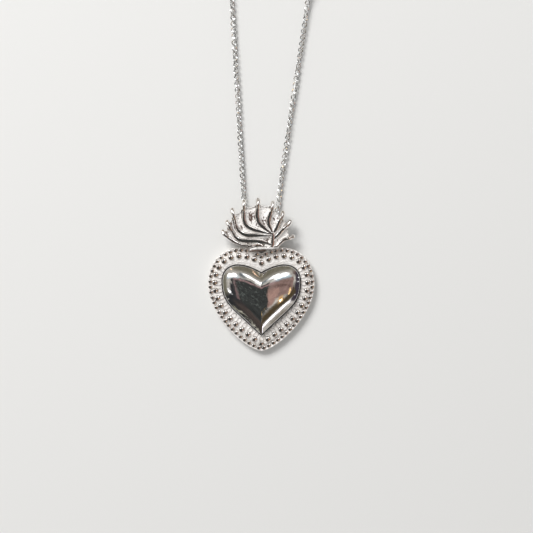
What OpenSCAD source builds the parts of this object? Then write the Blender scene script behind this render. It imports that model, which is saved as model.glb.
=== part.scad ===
// Sacred heart pendant: a puffed heart set in a beaded heart plate, a crown of flames
// soldered above it, and a round-link chain that runs through a bail tube at the back.
// The pendant lies on its back: +Y points to the flames and +Z out of its face.

/* [Heart plate] */
// Half the width of the plate
plate_half_w = 9.05; // [8.6:0.05:10]
// Lowest point of the plate, below the origin
plate_tip = 8.65; // [8.3:0.05:10]
// Height of the notch between the plate's lobes
plate_notch = 7.9; // [7.6:0.05:8.1]
// Thickness of the plate under the outer beads
plate_t = 1.0; // [0.7:0.05:1.1]
// Step up from there to the inner beads
step_h = 0.2; // [0.1:0.05:0.35]

/* [Beads] */
// Outer beads on each side, after the one in the notch
outer_beads = 29; // [26:1:31]
// Diameter of an outer bead
outer_bead_d = 0.78; // [0.6:0.02:0.86]
// Inner beads on each side, after the one in the notch
inner_beads = 18; // [16:1:19]
// Diameter of an inner bead
inner_bead_d = 1.04; // [0.8:0.02:1.2]
// Width of a petal, between the inner beads and the puffed heart
petal_w = 0.92; // [0.7:0.02:1.1]
// Length of a petal
petal_l = 1.5; // [1.2:0.05:1.8]

/* [Puffed heart] */
// Half the width of the puffed heart
dome_half_w = 6.6; // [6:0.05:6.9]
// Lowest point of the puffed heart, below the origin
dome_tip = 5.9; // [5.4:0.05:6.2]
// Height of the notch between its lobes
dome_notch = 4.55; // [4.3:0.05:4.8]
// Rise of the puffed heart over the plate
dome_h = 2.7; // [2:0.05:3.4]
// Depth of its seat in the plate
dome_seat = 0.3; // [0.1:0.05:0.5]
// Gap all round it in the seat
seat_gap = 0.04; // [0.02:0.01:0.08]

/* [Flame crown] */
// Thickness of the web between the flames
web_t = 0.5; // [0.4:0.05:0.7]
// How far the web dips between the ribs
web_dish = 0.12; // [0:0.02:0.2]
// Width of a flame's rib at its widest
rib_w = 0.92; // [0.7:0.02:1.1]
// Height of a rib's crest over the web
rib_h = 0.42; // [0.3:0.02:0.55]
// Diameter of the ball at each flame's tip
tip_ball_d = 0.7; // [0.55:0.02:0.8]
// How far the tips curl up
tip_rise = 0.15; // [0:0.05:0.3]
// Width of the collar band at the foot of the flames
collar_w = 0.9; // [0.7:0.02:1]
// Height of the collar band over the web
collar_h = 0.5; // [0.4:0.02:0.65]

/* [Bail tube] */
// Length of the tube
bail_l = 2.0; // [1.6:0.1:2.2]
// Outer diameter of the tube
bail_d = 1.7; // [1.6:0.05:1.9]
// Bore of the tube
bail_bore = 1.3; // [1.2:0.02:1.4]
// Height of the tube over the ground
bail_lift = 0.06; // [0.02:0.02:0.2]
// Depth to which the tube is let into the crown's back
bail_seat = 0.12; // [0.05:0.01:0.2]

/* [Chain] */
// Outer diameter of a link
link_d = 1.0; // [0.98:0.01:1.03]
// Diameter of a link's wire
link_wire = 0.21; // [0.18:0.01:0.22]
// Play of one link in the next
link_play = 0.04; // [0.03:0.01:0.06]
// Links on the right from the bail to the clasp
right_links = 74; // [74:2:76]

/* [Clasp] */
// Diameter of the hook's wire
hook_wire = 0.5; // [0.4:0.02:0.54]
// Radius of each turn of the S, to the middle of its wire
hook_r = 0.85; // [0.8:0.01:0.9]
// Diameter of an end ring's wire
ring_wire = 0.25; // [0.22:0.01:0.27]
// Radius of an end ring, to the middle of its wire
ring_r = 0.66; // [0.64:0.01:0.7]
// Least gap between the hook, its rings and the links on them
clasp_play = 0.04; // [0.03:0.01:0.05]

/* [Hidden] */
$fn = 32;

cast_silver = [0.80, 0.79, 0.77];
polished_silver = [0.88, 0.88, 0.87];
chain_silver = [0.84, 0.84, 0.83];
solder_gap = 0.02;

// Heart outlines. A half heart is two cubic curves, notch to side and side to tip. Its shape holds
// the notch angle, then as shares of the half width the handles at the notch, above and below
// the side and at the tip, and last the tip's angle.
curve_steps = 16;
plate_side = 2.7;
dome_side = 3.3;
plate_shape = [36.4, 0.45, 0.665, 0.607, 0.27, 0];
dome_shape = [29.9, 0.872, 0.26, 0.608, 1.03, 44.6];

// Between the two outlines a row's place is a share of the way: 0 is the plate's edge and 1 the
// puffed heart's.
outer_row = 0.15;
step_row = 0.31;
inner_row = 0.47;
petal_row = 0.84;
bead_sink = 0.06;

// Heights
plate_top = plate_t + step_h;
bail_z = bail_lift + bail_d / 2;
web_z = bail_z + bail_d / 2 - bail_seat;
web_top = web_z + web_t;
link_r = (link_d - link_wire) / 2;
link_pitch = link_d - 2 * link_wire - link_play;

function cubic(a, b, c, d, t) =
    pow(1 - t, 3) * a + 3 * t * pow(1 - t, 2) * b + 3 * t * t * (1 - t) * c + pow(t, 3) * d;

function half_heart(w, notch, side, tip, s) = concat(
    [for (i = [0:curve_steps]) cubic([0, notch], [0, notch] + w * s[1] * [cos(s[0]), sin(s[0])],
        [w, side + w * s[2]], [w, side], i / curve_steps)],
    [for (i = [1:curve_steps]) cubic([w, side], [w, side - w * s[3]],
        [0, -tip] + w * s[4] * [cos(s[5]), sin(s[5])], [0, -tip], i / curve_steps)]);

plate_half = half_heart(plate_half_w, plate_notch, plate_side, plate_tip, plate_shape);
dome_half = half_heart(dome_half_w, dome_notch, dome_side, dome_tip, dome_shape);

function half_row(k) = [for (i = [0:len(plate_half) - 1]) (1 - k) * plate_half[i] + k * dome_half[i]];

function mirrored(half) = concat(half, [for (i = [len(half) - 2:-1:1]) [-half[i].x, half[i].y]]);

// The closed outline moved outwards by a distance.
function grown(pts, by) = let (n = len(pts)) [for (i = [0:n - 1])
    let (a = pts[(i + n - 1) % n], c = pts[(i + 1) % n], d = (c - a) / norm(c - a))
    pts[i] + by * [-d.y, d.x]];

// Length along a line of points up to each of them, and the point at a given length.
function lengths(p, i = 0, sum = [0]) =
    i >= len(p) - 1 ? sum : lengths(p, i + 1, concat(sum, sum[i] + norm(p[i + 1] - p[i])));

function before(at, s) = max([for (i = [0:len(at) - 2]) if (i == 0 || at[i] <= s) i]);

function along(p, at, s) = let (i = before(at, s)) p[i] + (p[i + 1] - p[i]) * (s - at[i]) / (at[i + 1] - at[i]);

function heading(p, at, s) = let (i = before(at, s), d = p[i + 1] - p[i]) d / norm(d);

// A smooth line through points chosen by hand.
function bend(a, b, c, d, t) =
    0.5 * (2 * b + (c - a) * t + (2 * a - 5 * b + 4 * c - d) * t * t + (3 * b - a - 3 * c + d) * pow(t, 3));

function smooth(p, n) = let (m = len(p) - 1) concat(
    [for (i = [0:m - 1], j = [0:n - 1])
        bend(i == 0 ? 2 * p[0] - p[1] : p[i - 1], p[i], p[i + 1],
             i == m - 1 ? 2 * p[m] - p[m - 1] : p[i + 2], j / n)],
    [p[m]]);

// Places along both halves of a row as [x, y, turn], where the turn faces out of the heart.
function row_places(k, count, last) = let (row = half_row(k), at = lengths(row), all = at[len(at) - 1])
    [for (i = [0:count]) let (s = min(i * all / last, all - 0.001), p = along(row, at, s), h = heading(row, at, s),
        turn = i == 0 ? 90 : s > all - 0.01 ? -90 : atan2(h.y, h.x) + 90)
        each i == 0 || s > all - 0.01 ? [[0, p.y, turn]] : [[p.x, p.y, turn], [-p.x, p.y, 180 - turn]]];

// Flames. Each is the line of its rib from the root to the tip.
flames = [
    [[1.5, 8.9], [-2.0, 9.1], [-3.35, 9.25], [-4.6, 9.85], [-5.75, 10.7], [-6.3, 11.2], [-6.55, 11.75]],
    [[1.8, 9.3], [0.55, 9.75], [-0.5, 9.95], [-3.3, 10.15], [-4.3, 10.65], [-5.0, 11.75], [-5.6, 12.8], [-5.85, 13.35]],
    [[1.8, 10.85], [-0.4, 11.0], [-2.35, 11.05], [-3.35, 11.35], [-4.2, 12.3], [-4.5, 13.75], [-4.85, 14.8], [-5.0, 15.45]],
    [[1.83, 11.15], [0.15, 11.6], [-1.5, 12.1], [-2.55, 12.75], [-3.0, 13.75], [-2.95, 15.6], [-2.95, 16.85]],
    [[1.87, 11.3], [1.25, 11.65], [0.25, 12.5], [-0.5, 13.4], [-0.7, 14.6], [-0.55, 16.1], [-0.55, 17.1]],
    [[1.95, 11.38], [1.6, 12.15], [1.25, 13.1], [1.4, 14.25], [1.85, 15.5], [1.95, 16.6]],
    [[2.03, 11.3], [2.7, 12.35], [3.25, 13.65], [3.6, 14.4], [3.62, 14.95]],
    [[2.08, 10.25], [2.6, 10.8], [3.65, 11.9], [4.5, 12.7], [5.0, 13.4]],
    [[2.2, 8.95], [2.75, 9.2], [3.85, 10.15], [4.7, 10.45], [5.5, 10.8]]];

// How far the web reaches between neighbouring flames, as a share of their length
bay_reach = [0.95, 0.93, 0.88, 0.87, 0.87, 0.8, 0.79, 0.8];
// A rib's half width and height over its length, as shares of the widest and highest
rib_widths = [[0, 0.7], [0.35, 1], [0.75, 0.95], [1, 0.5]];
rib_heights = [[0, 0.8], [0.4, 1], [0.8, 1], [1, 0.7]];
// Columns of the relief across a bay: the rib that each belongs to and its place on that rib's half
// width, with the middle of the bay between them
bay_columns = [[0, 0], [0, 0.4], [0, 0.75], [0, 1], [0.5, 0], [1, 1], [1, 0.75], [1, 0.4]];
relief_rows = 13;
rib_lines = [for (f = flames) smooth(f, 6)];
rib_lengths = [for (f = rib_lines) lengths(f)];

// The spine that joins the flames' roots, the leaf over the collar and the collar itself
spine = [[1.92, 11.45], [1.96, 10.6], [1.92, 9.7], [1.83, 8.97]];
leaf = [[-2.45, 8.88], [-1.7, 9.22], [-0.9, 9.42], [0.25, 9.42]];
collar = [[-2.4, 8.42], [-1.3, 8.58], [0, 8.7], [1.5, 8.8], [2.95, 8.86]];
foot_x = [-1.95, 0.95];
foot_y = [8.4, 9.5];
foot_z = 0.15;

// Route of the chain on each side, from the middle of the bail tube
bail_y = 14.1;
left_route = [[0, 14.1, 0.91], [-0.5, 14.1, 0.91], [-0.95, 14.1, 0.9], [-1.95, 14.4, 0.86],
    [-2.65, 15.1, 0.72], [-2.92, 16.1, 0.57], [-3.02, 18, 0.44], [-3.3, 22.5, 0.42], [-3.65, 28, 0.42],
    [-4.05, 35, 0.42], [-4.5, 42, 0.42], [-4.95, 50, 0.42], [-5.4, 57.5, 0.42], [-5.7, 64.5, 0.5]];
right_route = [[0, 14.1, 0.91], [0.5, 14.1, 0.91], [0.95, 14.1, 0.9], [1.95, 14.4, 0.86],
    [2.62, 15.1, 0.72], [2.9, 16.1, 0.57], [3.1, 18, 0.44], [3.68, 22.5, 0.42], [4.5, 28, 0.42],
    [5.55, 35, 0.42], [6.6, 42, 0.42], [7.65, 49, 0.55], [8.05, 51.67, 0.78], [8.4, 54, 0.8],
    [8.75, 56.33, 0.78], [9.15, 59, 0.6], [9.4, 61.5, 0.8], [9.5, 64.5, 1.2]];
coil_at = [1.9, 64.5];
coil_turn_r = [3.35, 7.6];
coil_h = 1.95;
coil_gap = 0.1;

// Clasp: each end ring hangs on the far side of a turn of the hook, and the strand's first link
// beyond it lies flat round the ring's far side.
hook_slack = ring_r - (ring_wire + hook_wire) / 2 - clasp_play;
ring_z = ring_r + ring_wire / 2;
hook_z = ring_z - 0.5 * hook_slack;
ring_reach = 2 * hook_r + 0.8 * hook_slack;
link_reach = ring_reach + ring_r + link_r - (link_wire + ring_wire) / 2 - clasp_play;
right_line = smooth(right_route, 6);
right_at = lengths(right_line);
hook_s = right_links * link_pitch + link_reach;
hook_at = along(right_line, right_at, hook_s);
hook_heading = heading(right_line, right_at, hook_s);
hook_turn = atan2(hook_heading.y, hook_heading.x);

// Heart plate

module plate_outline(k) { polygon(mirrored(half_row(k))); }

module heart_plate() {
    color(cast_silver) difference() {
        union() {
            linear_extrude(plate_t) plate_outline(0);
            linear_extrude(plate_top) plate_outline(step_row);
            outer_beads();
            for (q = row_places(inner_row, inner_beads, inner_beads))
                translate([q.x, q.y, plate_top]) sphere(d = inner_bead_d);
            for (q = row_places(petal_row, inner_beads, inner_beads))
                translate([q.x, q.y, plate_top - bead_sink]) rotate(q.z) petal();
        }
        translate([0, 0, plate_top - dome_seat])
            linear_extrude(dome_seat + petal_w) polygon(grown(mirrored(dome_half), seat_gap));
    }
}

// Distance from a place to the crown's foot, where a bead has no room
function foot_distance(q) = norm([max(foot_x[0] - q.x, 0, q.x - foot_x[1]), max(foot_y[0] - q.y, 0)]);

module outer_beads() {
    for (q = row_places(outer_row, outer_beads, outer_beads + 0.5))
        if (foot_distance(q) > outer_bead_d / 2)
            translate([q.x, q.y, plate_t + bead_sink]) sphere(d = outer_bead_d);
}

// A bar with round ends, half sunk in the plate and square to the row
module petal() {
    straight = petal_l - petal_w;
    rotate([0, 90, 0]) rotate_extrude() intersection() {
        union() {
            for (side = [-1, 1]) translate([0, side * straight / 2]) circle(d = petal_w);
            translate([0, -straight / 2]) square([petal_w / 2, straight]);
        }
        translate([0, -petal_l]) square([petal_w, 2 * petal_l]);
    }
}

// Puffed heart

dome_centre = [0, 0.7];
dome_core_r = 4.6;
dome_rings = 12;

function dome_ring(t) = [for (p = mirrored(dome_half))
    let (v = p - dome_centre, f = pow(1 - t, 1.3))
    dome_centre + t * ((1 - f) * v + f * dome_core_r * v / norm(v))];

function at_height(ring, z) = [for (p = ring) [p.x, p.y, z]];

function turned_over(face) = [for (i = [len(face) - 1:-1:0]) face[i]];

module heart_dome() {
    n = 4 * curve_steps;
    points = concat(
        at_height(dome_ring(1), plate_top - dome_seat),
        [for (j = [0:dome_rings - 1], p = at_height(dome_ring(cos(90 * j / dome_rings)),
            plate_top + dome_h * sin(90 * j / dome_rings))) p],
        [[dome_centre.x, dome_centre.y, plate_top + dome_h]]);
    faces = concat(
        [[for (i = [0:n - 1]) i]],
        [for (j = [0:dome_rings - 1], i = [0:n - 1])
            [j * n + i, (j + 1) * n + i, (j + 1) * n + (i + 1) % n, j * n + (i + 1) % n]],
        [for (i = [0:n - 1]) [dome_rings * n + i, (dome_rings + 1) * n, dome_rings * n + (i + 1) % n]]);
    color(polished_silver) polyhedron(points, [for (f = faces) turned_over(f)], convexity = 4);
}

// Flame crown

// A tapered ridge along a flat line: half widths and heights are lists over its length.
module ridge(line, widths, heights, z) {
    sides = 8;
    m = len(line) - 1;
    points = [for (i = [0:m])
        let (a = line[max(i - 1, 0)], b = line[min(i + 1, m)], d = (b - a) / norm(b - a), s = i / m,
             w = lookup(s, widths), h = lookup(s, heights))
        for (j = [0:sides - 1]) let (u = 360 * (j + 0.5) / sides)
            [line[i].x - d.y * w * cos(u), line[i].y + d.x * w * cos(u), z + h * sin(u)]];
    faces = concat(
        [[for (j = [0:sides - 1]) j]],
        [for (i = [0:m - 1], j = [0:sides - 1])
            [i * sides + j, (i + 1) * sides + j, (i + 1) * sides + (j + 1) % sides, i * sides + (j + 1) % sides]],
        [[for (j = [sides - 1:-1:0]) m * sides + j]]);
    polyhedron(points, faces, convexity = 4);
}

function rib_point(i, t) = along(rib_lines[i], rib_lengths[i], t * rib_lengths[i][len(rib_lengths[i]) - 1] * 0.9999);

// A point of the relief's top: bay, column and how far out it is, from 0 to 1
function relief_point(bay, column, out) = let (
    next = min(bay + 1, len(flames) - 1),
    q = column[1],
    reach = column[0] == 0.5 ? bay_reach[bay] : 1 - q * q * (1 - (bay < len(bay_reach) ? bay_reach[bay] : 1)),
    t = out * reach,
    a = rib_point(bay, t),
    b = rib_point(next, t),
    apart = max(norm(b - a), 0.001),
    half = min(rib_w / 2 * lookup(t, rib_widths), 0.42 * apart),
    share = column[0] == 0.5 ? 0.5 : abs(column[0] - q * half / apart),
    merge = min(1, apart / (1.2 * rib_w)),
    crest = rib_h * lookup(t, rib_heights),
    drop = merge * (column[0] == 0.5 ? crest + web_dish : crest * (1 - sqrt(1 - q * q))),
    p = (1 - share) * a + share * b)
    [p.x, p.y, web_top + crest + tip_rise * pow(t, 4) - drop];

// The web and its ribs are one relief with a flat back.
module flame_relief() {
    bays = len(flames) - 1;
    columns = concat([for (b = [0:bays - 1], c = bay_columns) [b, c]], [[bays, bay_columns[0]]]);
    n = len(columns);
    m = relief_rows;
    top = [for (c = columns, j = [0:m]) relief_point(c[0], c[1], j / m)];
    rim = concat([for (c = [0:n - 1]) c * (m + 1) + m], [for (j = [m - 1:-1:0]) (n - 1) * (m + 1) + j],
                 [for (c = [n - 2:-1:0]) c * (m + 1)], [for (j = [1:m - 1]) j]);
    k = len(rim);
    base = n * (m + 1);
    points = concat(top, [for (i = rim) [top[i].x, top[i].y, web_z]]);
    faces = concat(
        [for (c = [0:n - 2], j = [0:m - 1])
            [c * (m + 1) + j, (c + 1) * (m + 1) + j, (c + 1) * (m + 1) + j + 1, c * (m + 1) + j + 1]],
        [for (i = [0:k - 1]) [rim[i], rim[(i + 1) % k], base + (i + 1) % k, base + i]],
        [[for (i = [0:k - 1]) base + i]]);
    polyhedron(points, [for (f = faces) turned_over(f)], convexity = 10);
}

module flame_ridges() {
    ridge(smooth(spine, 3), [[0, 0.3], [1, 0.34]], [[0, rib_h], [1, rib_h]], web_top);
    ridge(smooth(leaf, 3), [[0, 0.08], [0.35, 0.3], [1, 0.1]], [[0, 0.2], [0.4, collar_h], [1, 0.2]], web_top);
    ridge(smooth(collar, 3), [[0, 0.26], [0.2, collar_w / 2], [0.6, collar_w * 0.34], [1, 0.12]],
          [[0, 0.3], [0.25, collar_h], [0.8, collar_h * 0.8], [1, 0.2]], web_top);
}

module flame_tips() {
    for (line = rib_lines) {
        tip = line[len(line) - 1];
        neck = line[len(line) - 3];
        hull() {
            translate([tip.x, tip.y, web_top + tip_rise]) sphere(d = tip_ball_d, $fn = 14);
            translate([(2 * tip.x + neck.x) / 3, (2 * tip.y + neck.y) / 3, web_top + tip_rise * 0.8])
                sphere(d = tip_ball_d * 0.66, $fn = 10);
        }
    }
}

module crown_foot() {
    translate([foot_x[0], foot_y[0], foot_z])
        cube([foot_x[1] - foot_x[0], foot_y[1] - foot_y[0], web_top - foot_z]);
}

module flame_crown() {
    color(cast_silver) difference() {
        union() {
            flame_relief();
            flame_ridges();
            flame_tips();
            crown_foot();
        }
        translate([0, 0, -1]) linear_extrude(plate_t + 1 + solder_gap)
            polygon(grown(mirrored(plate_half), solder_gap));
        translate([0, bail_y, bail_z]) rotate([0, 90, 0])
            cylinder(d = bail_d + 2 * solder_gap, h = bail_l + 2 * solder_gap, center = true);
    }
}

// Bail tube

module bail_tube() {
    color(polished_silver) translate([0, bail_y, bail_z]) rotate([0, 90, 0]) difference() {
        cylinder(d = bail_d, h = bail_l, center = true);
        cylinder(d = bail_bore, h = bail_l + 1, center = true);
    }
}

// Chain and clasp

module wire_ring(r, wire) {
    rotate_extrude() translate([r, 0]) circle(d = wire, $fn = 16);
}

// Each link stands square to the last, and the pair rolls slowly along the strand.
module link(p, h, roll) {
    lying = link_r * max(abs(sin(roll)), abs(cos(roll))) + link_wire / 2;
    translate([p.x, p.y, max(p.z, lying)])
        rotate([0, -asin(h.z), atan2(h.y, h.x)]) rotate([roll, 0, 0]) wire_ring(link_r, link_wire);
}

// Links at whole steps from the start of the line, and how far each is from a link that lies flat.
module strand(line, start, first, last, flat) {
    at = lengths(line);
    for (i = [first:last]) {
        s = start + i * link_pitch;
        p = along(line, at, s);
        free = min(abs(i - flat) / 10, 1);
        if (norm([p.x, p.y] - coil_at) > coil_turn_r[1] + link_d + coil_gap)
            link(p, heading(line, at, s), 90 * (abs(i - flat) % 2) + free * (45 + 32 * sin(9 * i) + 10 * sin(23 * i)));
    }
}

module chain_left() { color(chain_silver) strand(smooth(left_route, 6), 0, 0, 90, -21); }

module chain_right() {
    color(chain_silver) {
        strand(right_line, 0, 1, right_links, right_links);
        strand(right_line, hook_s + link_reach, 0, 9, 0);
    }
}

module chain_coil() {
    r = coil_turn_r + [-link_d / 2, link_d / 2];
    color(chain_silver) translate(coil_at) rotate_extrude() translate([r[0], 0])
        square([r[1] - r[0], coil_h]);
}

module at_clasp(z) { translate([hook_at.x, hook_at.y, z]) rotate(hook_turn - 90) children(); }

module part_turn(r, wire, from) {
    rotate(from) rotate_extrude(angle = 270) translate([r, 0]) circle(d = wire, $fn = 16);
}

module clasp_hook() {
    color(polished_silver) at_clasp(hook_z) {
        translate([0, hook_r]) part_turn(hook_r, hook_wire, -90);
        translate([0, -hook_r]) part_turn(hook_r, hook_wire, 90);
    }
}

module end_ring(side) {
    color(polished_silver) at_clasp(ring_z) translate([0, side * ring_reach])
        rotate([90, 0, 90]) wire_ring(ring_r, ring_wire);
}

module end_ring_left() { end_ring(1); }
module end_ring_right() { end_ring(-1); }

heart_plate();
heart_dome();
flame_crown();
bail_tube();
chain_left();
chain_right();
chain_coil();
clasp_hook();
end_ring_left();
end_ring_right();
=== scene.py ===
# Sacred heart pendant on its chain, lying face up on a pale surface.
# Shapes are worked out in millimetres and brought to metres when a piece is finished.
import math
import bpy
import bmesh
import numpy as np
from mathutils import Vector, Matrix
from mathutils.kdtree import KDTree


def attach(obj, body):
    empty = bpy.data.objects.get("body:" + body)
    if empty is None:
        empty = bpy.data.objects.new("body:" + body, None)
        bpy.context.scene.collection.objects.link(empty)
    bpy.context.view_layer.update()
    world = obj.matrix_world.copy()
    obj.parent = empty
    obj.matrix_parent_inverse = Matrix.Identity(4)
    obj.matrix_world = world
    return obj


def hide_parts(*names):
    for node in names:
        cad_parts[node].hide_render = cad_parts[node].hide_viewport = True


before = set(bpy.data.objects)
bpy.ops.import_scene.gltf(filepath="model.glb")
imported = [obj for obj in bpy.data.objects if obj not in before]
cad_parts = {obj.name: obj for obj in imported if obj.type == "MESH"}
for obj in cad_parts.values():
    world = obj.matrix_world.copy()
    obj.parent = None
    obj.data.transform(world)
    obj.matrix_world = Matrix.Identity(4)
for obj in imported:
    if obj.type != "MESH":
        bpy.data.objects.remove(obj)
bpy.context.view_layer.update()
mm = 0.001
print("frame loaded:", ", ".join(sorted(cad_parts)))

# Camera, straight above the pendant

camera = {"centre": (0.88, 5.70), "pixel": 0.17, "picture": 533, "lens": 100.0, "sensor": 36.0}

camData = bpy.data.cameras.new("camera")
camData.lens = camera["lens"]
camData.sensor_width = camera["sensor"]
camData.clip_start = 0.002
camData.clip_end = 20
camObject = bpy.data.objects.new("camera", camData)
bpy.context.scene.collection.objects.link(camObject)
span = camera["pixel"] * camera["picture"]
camHeight = span * camera["lens"] / camera["sensor"] + 1.0
camObject.location = (camera["centre"][0] * mm, camera["centre"][1] * mm, camHeight * mm)
bpy.context.scene.camera = camObject


# Small helpers

def addObject(name, mesh):
    obj = bpy.data.objects.new(name, mesh)
    bpy.context.scene.collection.objects.link(obj)
    return obj


# A closed shell in millimetres, its faces turned outwards
def solidFrom(name, points, faces):
    mesh = bpy.data.meshes.new(name)
    mesh.from_pydata([tuple(map(float, p)) for p in points], [], [tuple(int(i) for i in f) for f in faces])
    bm = bmesh.new()
    bm.from_mesh(mesh)
    bmesh.ops.recalc_face_normals(bm, faces=bm.faces)
    bm.to_mesh(mesh)
    bm.free()
    mesh.shade_smooth()
    return addObject(name, mesh)


def bakeModifiers(obj):
    graph = bpy.context.evaluated_depsgraph_get()
    done = bpy.data.meshes.new_from_object(obj.evaluated_get(graph))
    obj.modifiers.clear()
    obj.data = done
    return obj


def joinAll(name, objects):
    bpy.ops.object.select_all(action="DESELECT")
    for obj in objects:
        obj.select_set(True)
    bpy.context.view_layer.objects.active = objects[0]
    bpy.ops.object.join()
    objects[0].name = name
    return objects[0]


def paint(obj, material):
    obj.data.materials.clear()
    obj.data.materials.append(material)
    return obj


# Brings a painted piece to metres and puts it in the place of its CAD nodes
def dress(obj, slot, *nodes):
    obj.data.transform(Matrix.Scale(mm, 4))
    obj.data.update()
    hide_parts(*nodes)
    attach(obj, "root")
    return obj


def smoothLine(points, steps):
    p = np.array(points, float)
    ends = np.vstack([2 * p[0] - p[1], p, 2 * p[-1] - p[-2]])
    line = []
    for i in range(len(p) - 1):
        a, b, c, d = ends[i:i + 4]
        for j in range(steps):
            t = j / steps
            line.append(0.5 * (2 * b + (c - a) * t + (2 * a - 5 * b + 4 * c - d) * t * t
                               + (3 * b - a - 3 * c + d) * t ** 3))
    line.append(p[-1])
    return np.array(line)


def lengthsOf(line):
    return np.concatenate([[0], np.cumsum(np.linalg.norm(np.diff(line, axis=0), axis=1))])


def pointsAt(line, places):
    at = lengthsOf(line)
    return np.stack([np.interp(places, at, line[:, k]) for k in range(line.shape[1])], axis=1)


# Quads between rings of points that follow each other, and from the last ring back to the first
def ringFaces(rings, count, loop=False):
    faces = []
    for r in range(rings if loop else rings - 1):
        above = (r + 1) % rings
        for i in range(count):
            j = (i + 1) % count
            faces.append((r * count + i, r * count + j, above * count + j, above * count + i))
    return faces


def endFaces(rings, count):
    last = (rings - 1) * count
    return [tuple(range(count)), tuple(range(last, last + count))]


# A round bar along a line, with a radius at each point; flat squeezes it in height
def sweep(name, line, radii, sides=16, flat=1.0, loop=False):
    line = np.array(line, float)
    count = len(line)
    tangent = np.gradient(line, axis=0)
    if loop:
        tangent = np.roll(line, -1, axis=0) - np.roll(line, 1, axis=0)
    tangent /= np.linalg.norm(tangent, axis=1)[:, None]
    up = np.array([0, 0, 1.0]) if abs(tangent[:, 2]).max() < 0.9 else np.array([1.0, 0, 0])
    side = np.cross(up, tangent)
    side /= np.linalg.norm(side, axis=1)[:, None]
    top = np.cross(tangent, side)
    turn = 2 * math.pi * np.arange(sides) / sides
    radii = np.broadcast_to(np.array(radii, float), (count,))
    ring = (line[:, None] + radii[:, None, None] * (np.cos(turn)[None, :, None] * side[:, None]
            + flat * np.sin(turn)[None, :, None] * top[:, None]))
    faces = ringFaces(count, sides, loop)
    if not loop:
        faces += endFaces(count, sides)
    return solidFrom(name, ring.reshape(-1, 3), faces)


# Node trees

def newTree(name, inputs):
    tree = bpy.data.node_groups.new(name, "GeometryNodeTree")
    tree.interface.new_socket("Geometry", in_out="INPUT", socket_type="NodeSocketGeometry")
    for label, kind, value in inputs:
        socket = tree.interface.new_socket(label, in_out="INPUT", socket_type="NodeSocket" + kind)
        if value is not None:
            socket.default_value = value
    tree.interface.new_socket("Geometry", in_out="OUTPUT", socket_type="NodeSocketGeometry")
    return tree


def addNode(tree, kind, **settings):
    node = tree.nodes.new(kind)
    for key, value in settings.items():
        setattr(node, key, value)
    return node


def plug(tree, source, target):
    if isinstance(source, (int, float, tuple)):
        target.default_value = source
    else:
        tree.links.new(source, target)


# One Math node; the values are numbers or sockets
def sums(tree, operation, *values):
    node = addNode(tree, "ShaderNodeMath", operation=operation)
    for socket, value in zip(node.inputs, values):
        plug(tree, value, socket)
    return node.outputs[0]


def remap(tree, value, low, high, fromLow=0.0, fromHigh=1.0, smooth=False):
    node = addNode(tree, "ShaderNodeMapRange", interpolation_type="SMOOTHSTEP" if smooth else "LINEAR")
    for socket, v in zip(node.inputs, (value, fromLow, fromHigh, low, high)):
        plug(tree, v, socket)
    return node.outputs[0]


def blend(tree, factor, a, b):
    node = addNode(tree, "ShaderNodeMix", data_type="RGBA")
    for label, v in (("Factor", factor), ("A", a), ("B", b)):
        plug(tree, (*v, 1) if isinstance(v, tuple) else v, node.inputs[label])
    return node.outputs["Result"]


# A ring of round wire
def wireRing(tree, around, radius, sides, wire):
    circles = []
    for count, size in ((around, radius), (sides, sums(tree, "MULTIPLY", wire, 0.5))):
        circle = addNode(tree, "GeometryNodeCurvePrimitiveCircle")
        plug(tree, count, circle.inputs["Resolution"])
        plug(tree, size, circle.inputs["Radius"])
        circles.append(circle.outputs[0])
    ring = addNode(tree, "GeometryNodeCurveToMesh")
    plug(tree, circles[0], ring.inputs["Curve"])
    plug(tree, circles[1], ring.inputs["Profile Curve"])
    return ring.outputs[0]


# Makes the instances real, paints them and closes the tree
def endTree(tree, instances, material, smooth):
    real = addNode(tree, "GeometryNodeRealizeInstances")
    plug(tree, instances, real.inputs[0])
    shade = addNode(tree, "GeometryNodeSetShadeSmooth")
    shade.inputs["Shade Smooth"].default_value = smooth
    plug(tree, real.outputs[0], shade.inputs[0])
    coat = addNode(tree, "GeometryNodeSetMaterial")
    plug(tree, shade.outputs[0], coat.inputs["Geometry"])
    plug(tree, material, coat.inputs["Material"])
    plug(tree, coat.outputs[0], addNode(tree, "NodeGroupOutput").inputs[0])


def runTree(obj, tree, **values):
    modifier = obj.modifiers.new(tree.name, "NODES")
    modifier.node_group = tree
    names = {item.name: item.identifier for item in tree.interface.items_tree if item.in_out == "INPUT"}
    for label, value in values.items():
        modifier[names[label]] = value
    return bakeModifiers(obj)


# Finishes

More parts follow.
